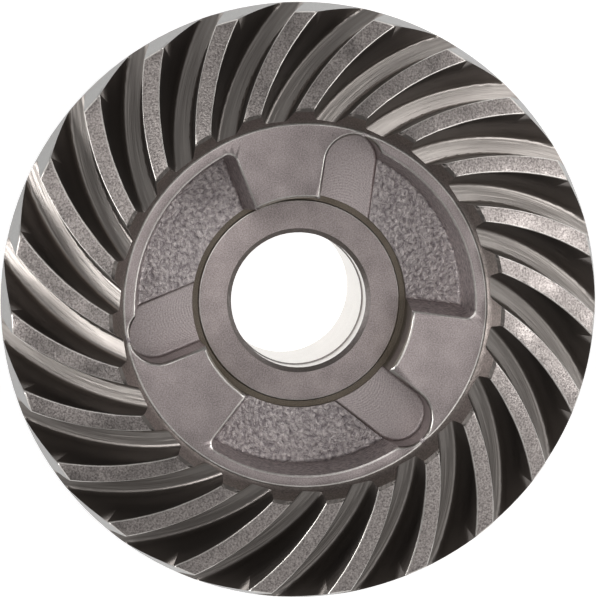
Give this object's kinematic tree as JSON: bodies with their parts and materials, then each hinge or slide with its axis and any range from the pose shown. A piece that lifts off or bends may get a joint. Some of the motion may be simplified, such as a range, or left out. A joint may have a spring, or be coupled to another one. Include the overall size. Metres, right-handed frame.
{
  "type": "spiral bevel gear",
  "caption": "Steel spiral bevel gear with a plain bore, a bearing journal behind and dog-clutch jaws milled into the front hub, as used in marine reversing gearcases.",
  "frame": {"origin": "on the bore axis at the flat rear face of the bearing journal", "axes": "+Z along the bore axis towards the toothed side and the clutch jaws, +X along the driving face of one jaw"},
  "size_m": [0.09, 0.09, 0.0419],
  "materials": {
    "gear_steel": "case-hardened grey, fine grain on machined faces, rough forged clutch pockets, bright worn tooth edges"
  },
  "bodies": {
    "root": {"bevel_gear": "gear_steel"}
  },
  "joints": []
}
